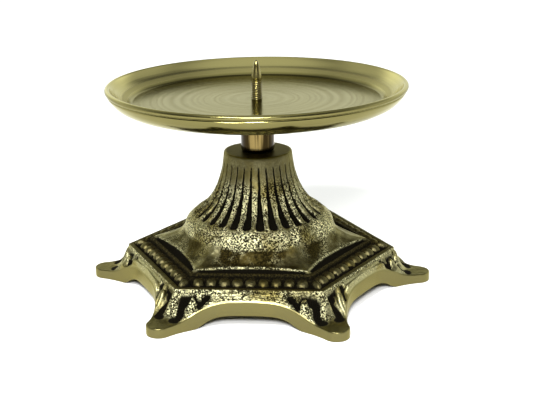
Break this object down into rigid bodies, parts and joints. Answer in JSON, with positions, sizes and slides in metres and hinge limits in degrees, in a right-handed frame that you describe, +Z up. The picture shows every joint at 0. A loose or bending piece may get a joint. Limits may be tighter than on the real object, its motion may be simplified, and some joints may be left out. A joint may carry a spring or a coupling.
{
  "type": "pricket candle holder",
  "caption": "Cast brass pricket: hexagonal toed foot, fluted column, turned drip pan and a central spike that holds a pillar candle upright.",
  "frame": {"origin": "centre of the plane that the toes stand on", "axes": "+Z up along the stud; +X towards one toe; a flat side of the hexagon faces -Y"},
  "size_m": [0.153, 0.1338, 0.0996],
  "materials": {
    "cast_brass": "sand-cast antique brass, dark patina in the recesses, ground toes",
    "turned_brass": "lathe-turned satin brass with fine concentric marks",
    "collar_brass": "polished brass",
    "stud_brass": "threaded brass rod, darkened in the thread",
    "fastener_steel": "dull zinc-plated steel"
  },
  "bodies": {
    "foot": {"base_casting": "cast_brass", "pricket_stud": "stud_brass", "flat_washer": "fastener_steel", "spring_washer": "fastener_steel", "hex_nut": "fastener_steel"},
    "collar": {"collar": "collar_brass"},
    "pan": {"drip_pan": "turned_brass"}
  },
  "joints": [
    {"name": "pan_turn", "type": "hinge", "parent": "foot", "child": "collar", "pos_m": [0, 0, 0.0755], "axis": [0, 0, 1], "range_deg": [0, 6480]},
    {"name": "pan_rise", "type": "slide", "parent": "collar", "child": "pan", "axis": [0, 0, 1], "range_m": [0, 0.0144]}
  ],
  "couplings": [
    {"joint": "pan_rise", "follows": "pan_turn", "m_per_rad": 0.0001273}
  ]
}
